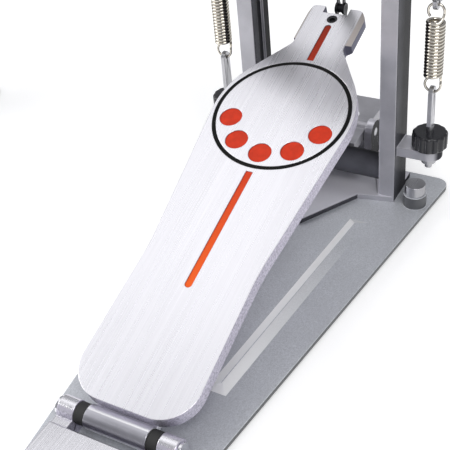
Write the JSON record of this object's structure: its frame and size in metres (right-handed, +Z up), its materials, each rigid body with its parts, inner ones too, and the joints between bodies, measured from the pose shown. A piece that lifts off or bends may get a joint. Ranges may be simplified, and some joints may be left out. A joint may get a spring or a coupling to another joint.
{
  "type": "double bass drum pedal",
  "caption": "Chain-driven double bass drum pedal: clamped main pedal with both beaters, a second pedal and a telescopic drive shaft.",
  "frame": {"origin": "on the floor, straight below the middle of the main pedal's axle", "axes": "+X to the player's right along the axles, +Y towards the drum, +Z up"},
  "size_m": [0.5939, 0.4233, 0.3932],
  "materials": {
    "rubber_mat": "matte ribbed rubber",
    "base_paint": "silver-grey paint with a fine sparkle",
    "board_metal": "lengthwise brushed",
    "cast_metal": "silver-grey painted casting",
    "bright_metal": "polished",
    "steel": "satin",
    "black_steel": "blackened",
    "black_plastic": "matte black",
    "black_knob": "satin black",
    "orange": "orange-red, satin",
    "spring_wire": "nickel-plated wire with a warm tone",
    "felt": "pressed felt"
  },
  "bodies": {
    "main_unit": {"main_grip_mat": "rubber_mat", "main_base_plate": "base_paint", "main_fasteners": "steel", "main_heel_plate": "board_metal", "main_hinge_pin": "steel", "main_frame": "cast_metal", "main_bearings": "steel", "clamp_pin": "steel", "spring_hooks": "steel", "spring_knobs": "black_knob"},
    "right_axle": {"main_axle": "steel", "main_sprocket": "steel", "main_chain_wrap": "black_steel", "right_rocker": "cast_metal", "right_beater_hub": "cast_metal", "right_beater_screw": "bright_metal"},
    "main_treadle": {"main_footboard": "board_metal", "main_ring_inlay": "black_plastic", "main_orange_inlays": "orange", "main_hinge_barrel": "bright_metal", "main_hinge_bushes": "black_plastic", "main_chain_anchor": "black_steel"},
    "main_chain": {"main_chain_drop": "black_steel"},
    "right_beater": {"right_beater_rod": "bright_metal", "right_beater_head": "felt"},
    "right_spring": {"right_spring": "spring_wire"},
    "right_stirrup": {"right_stirrup": "steel"},
    "left_axle": {"left_axle": "steel", "left_rocker": "cast_metal", "left_beater_hub": "cast_metal", "left_beater_screw": "bright_metal", "main_joint_cross": "steel", "drive_tube": "bright_metal", "shaft_key_screw": "bright_metal"},
    "left_beater": {"left_beater_rod": "bright_metal", "left_beater_head": "felt"},
    "left_spring": {"left_spring": "spring_wire"},
    "left_stirrup": {"left_stirrup": "steel"},
    "slave_unit": {"slave_grip_mat": "rubber_mat", "slave_base_plate": "base_paint", "slave_fasteners": "steel", "slave_heel_plate": "board_metal", "slave_hinge_pin": "steel", "slave_frame": "cast_metal", "slave_bearings": "steel"},
    "slave_axle": {"slave_axle": "steel", "slave_joint_cross": "steel", "drive_rod": "steel", "slave_sprocket": "steel", "slave_chain_wrap": "black_steel"},
    "slave_chain": {"slave_chain_drop": "black_steel"},
    "slave_treadle": {"slave_footboard": "board_metal", "slave_ring_inlay": "black_plastic", "slave_orange_inlays": "orange", "slave_hinge_barrel": "bright_metal", "slave_hinge_bushes": "black_plastic", "slave_chain_anchor": "black_steel"},
    "clamp_jaw": {"clamp_jaw": "cast_metal", "clamp_pad": "rubber_mat"},
    "wing_bolt": {"clamp_wing_bolt": "bright_metal"}
  },
  "joints": [
    {"name": "right_axle_turn", "type": "hinge", "parent": "main_unit", "child": "right_axle", "pos_m": [0, 0, 0.18807], "axis": [-1, 0, 0], "range_deg": [0, 40], "stiffness_Nm_per_rad": 0.8, "springref_deg": -20.05},
    {"name": "left_axle_turn", "type": "hinge", "parent": "main_unit", "child": "left_axle", "pos_m": [0, 0, 0.18807], "axis": [-1, 0, 0], "range_deg": [0, 40], "stiffness_Nm_per_rad": 0.8, "springref_deg": -20.05},
    {"name": "main_treadle_press", "type": "hinge", "parent": "main_unit", "child": "main_treadle", "pos_m": [0, -0.27228, 0.0163], "axis": [-1, 0, 0], "range_deg": [0, 4]},
    {"name": "main_chain_swing", "type": "hinge", "parent": "right_axle", "child": "main_chain", "pos_m": [0, 0.03255, 0.18807], "axis": [-1, 0, 0], "range_deg": [-50, 0]},
    {"name": "slave_spread", "type": "slide", "parent": "main_unit", "child": "slave_unit", "axis": [-1, 0, 0], "range_m": [0, 0.045]},
    {"name": "slave_axle_turn", "type": "hinge", "parent": "slave_unit", "child": "slave_axle", "pos_m": [-0.42, 0, 0.18807], "axis": [-1, 0, 0], "range_deg": [0, 40]},
    {"name": "slave_treadle_press", "type": "hinge", "parent": "slave_unit", "child": "slave_treadle", "pos_m": [-0.42, -0.27228, 0.0163], "axis": [-1, 0, 0], "range_deg": [0, 4]},
    {"name": "slave_chain_swing", "type": "hinge", "parent": "slave_axle", "child": "slave_chain", "pos_m": [-0.42, 0.03255, 0.18807], "axis": [-1, 0, 0], "range_deg": [-50, 0]},
    {"name": "jaw_close", "type": "hinge", "parent": "main_unit", "child": "clamp_jaw", "pos_m": [0, 0.04, 0.026], "axis": [-1, 0, 0], "range_deg": [0, 8]},
    {"name": "wing_bolt_turn", "type": "hinge", "parent": "clamp_jaw", "child": "wing_bolt", "pos_m": [0, 0.02, 0.026], "axis": [0, 0, 1], "continuous": true},
    {"name": "right_beater_reach", "type": "slide", "parent": "right_axle", "child": "right_beater", "axis": [0, -0.6157, 0.788], "range_m": [0, 0.015]},
    {"name": "right_spring_swing", "type": "hinge", "parent": "main_unit", "child": "right_spring", "pos_m": [0.077, 0, 0.091], "axis": [-1, 0, 0], "range_deg": [-14, 0]},
    {"name": "right_spring_stretch", "type": "slide", "parent": "right_spring", "child": "right_stirrup", "axis": [0, 0, 1], "range_m": [0, 0.0075], "deforming": ["right_spring"]},
    {"name": "left_beater_reach", "type": "slide", "parent": "left_axle", "child": "left_beater", "axis": [0, -0.6157, 0.788], "range_m": [0, 0.015]},
    {"name": "left_spring_swing", "type": "hinge", "parent": "main_unit", "child": "left_spring", "pos_m": [-0.077, 0, 0.091], "axis": [-1, 0, 0], "range_deg": [-14, 0]},
    {"name": "left_spring_stretch", "type": "slide", "parent": "left_spring", "child": "left_stirrup", "axis": [0, 0, 1], "range_m": [0, 0.0075], "deforming": ["left_spring"]}
  ],
  "couplings": [
    {"joint": "main_treadle_press", "follows": "right_axle_turn", "ratio": 0.095747},
    {"joint": "main_chain_swing", "follows": "right_axle_turn", "ratio": -1.2292},
    {"joint": "slave_axle_turn", "follows": "left_axle_turn", "ratio": 1},
    {"joint": "slave_treadle_press", "follows": "left_axle_turn", "ratio": 0.095747},
    {"joint": "slave_chain_swing", "follows": "left_axle_turn", "ratio": -1.2292},
    {"joint": "right_spring_swing", "follows": "right_axle_turn", "ratio": -0.34984},
    {"joint": "right_spring_stretch", "follows": "right_axle_turn", "m_per_rad": 0.010383},
    {"joint": "left_spring_swing", "follows": "left_axle_turn", "ratio": -0.34984},
    {"joint": "left_spring_stretch", "follows": "left_axle_turn", "m_per_rad": 0.010383}
  ]
}
